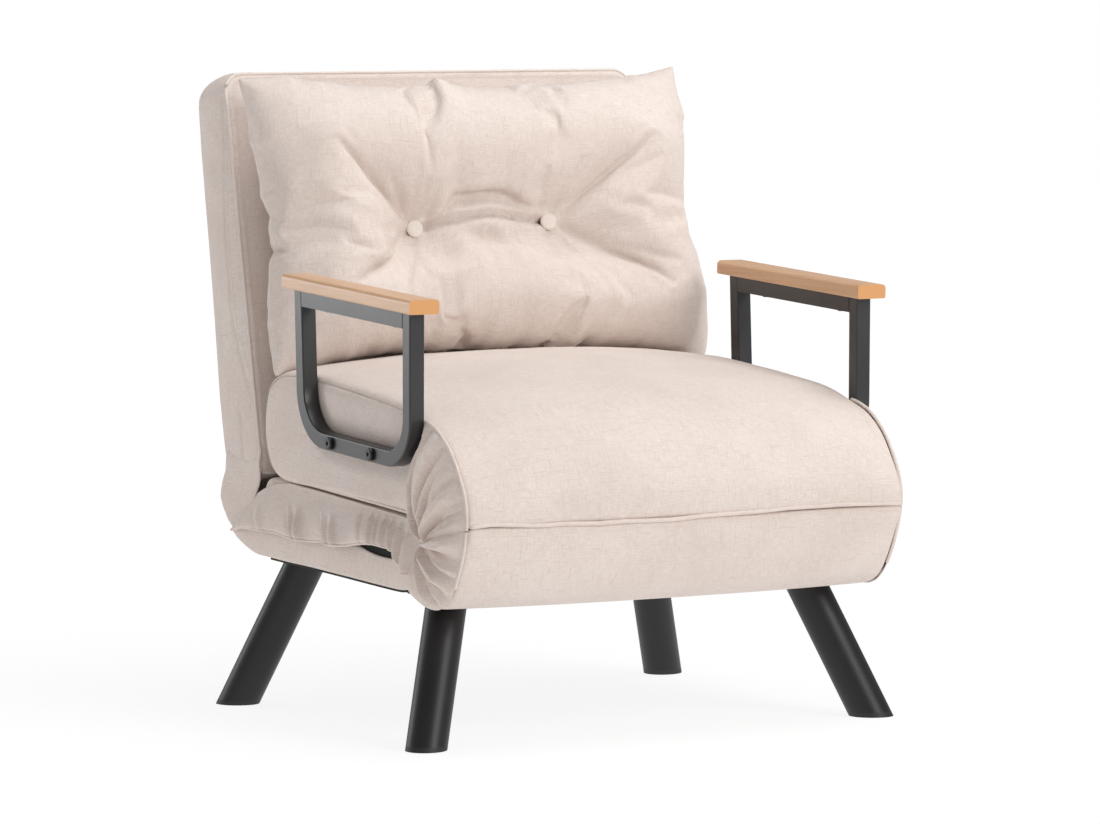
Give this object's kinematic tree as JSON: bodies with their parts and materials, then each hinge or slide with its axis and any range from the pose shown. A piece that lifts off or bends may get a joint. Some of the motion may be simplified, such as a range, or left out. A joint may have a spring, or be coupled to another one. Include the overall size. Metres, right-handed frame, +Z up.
{
  "type": "convertible chair bed",
  "caption": "Padded chair that becomes a bed: the seat turns over and the backrest reclines flat; bent tube arm loops, wooden arm rests, loose back pillow and splayed legs.",
  "frame": {"origin": "middle of the bounding box, on the floor", "axes": "+Z up, +Y to the back of the chair, +X to the right as the chair is seen from the front"},
  "size_m": [0.6771, 0.7262, 0.8029],
  "materials": {
    "frame_steel": "satin black powder coat",
    "arm_steel": "satin charcoal powder coat",
    "leg_steel": "matt black powder coat",
    "beech": "clear satin lacquer on light beech",
    "cap_plastic": "moulded black",
    "black_bolt": "black oxide",
    "zinc_steel": "zinc plated",
    "webbing": "elastic woven strap",
    "dust_cloth": "black non-woven cloth",
    "linen": "cream linen weave with slubs"
  },
  "bodies": {
    "base": {"base_bar_front": "frame_steel", "base_bar_middle": "frame_steel", "base_bar_rear": "frame_steel", "base_cover_left": "linen", "base_cover_rear": "linen", "base_cover_right": "linen", "base_pad": "linen", "base_rail_left": "frame_steel", "base_rail_right": "frame_steel", "base_webbing": "webbing", "dust_cover": "dust_cloth", "foot_caps": "cap_plastic", "front_hinge_base_left": "zinc_steel", "front_hinge_base_right": "zinc_steel", "front_hinge_pins": "zinc_steel", "leg_bolts": "black_bolt", "leg_front_left": "leg_steel", "leg_front_right": "leg_steel", "leg_plates": "leg_steel", "leg_rear_left": "leg_steel", "leg_rear_right": "leg_steel", "recline_bracket_left": "zinc_steel", "recline_bracket_right": "zinc_steel", "recline_pawls": "zinc_steel", "recline_rivets": "zinc_steel", "side_flap_left": "linen", "side_flap_right": "linen"},
    "seat": {"arm_bar_left": "arm_steel", "arm_bar_right": "arm_steel", "arm_bolts": "black_bolt", "arm_frame_left": "arm_steel", "arm_frame_right": "arm_steel", "arm_nuts": "zinc_steel", "arm_screws": "zinc_steel", "arm_spacers": "zinc_steel", "arm_wood_left": "beech", "arm_wood_right": "beech", "bed_pad": "linen", "front_hinge_seat_left": "zinc_steel", "front_hinge_seat_right": "zinc_steel", "seat_bar_front": "frame_steel", "seat_bar_rear": "frame_steel", "seat_cushion": "linen", "seat_rail_left": "frame_steel", "seat_rail_right": "frame_steel", "seat_webbing": "webbing"},
    "backrest": {"back_bar_bottom": "frame_steel", "back_bar_top": "frame_steel", "back_cushion": "linen", "back_rail_left": "frame_steel", "back_rail_right": "frame_steel", "back_rear_pad": "linen", "back_webbing": "webbing", "recline_arm_left": "zinc_steel", "recline_arm_right": "zinc_steel"},
    "pillow": {"pillow": "linen", "pillow_buttons": "linen"}
  },
  "joints": [
    {"name": "seat_flip", "type": "hinge", "parent": "base", "child": "seat", "pos_m": [0, -0.356, 0.266], "axis": [1, 0, 0], "range_deg": [0, 177], "deforming": ["pillow", "pillow_buttons"]},
    {"name": "backrest_recline", "type": "hinge", "parent": "base", "child": "backrest", "pos_m": [0, 0.23164, 0.25003], "axis": [-1, 0, 0], "range_deg": [0, 78.9]},
    {"name": "pillow_drop", "type": "slide", "parent": "backrest", "child": "pillow", "axis": [0, 0.1925, 0.9813], "range_m": [-0.121, 0]}
  ],
  "couplings": [
    {"joint": "pillow_drop", "follows": "seat_flip", "m_per_rad": -0.0388}
  ]
}
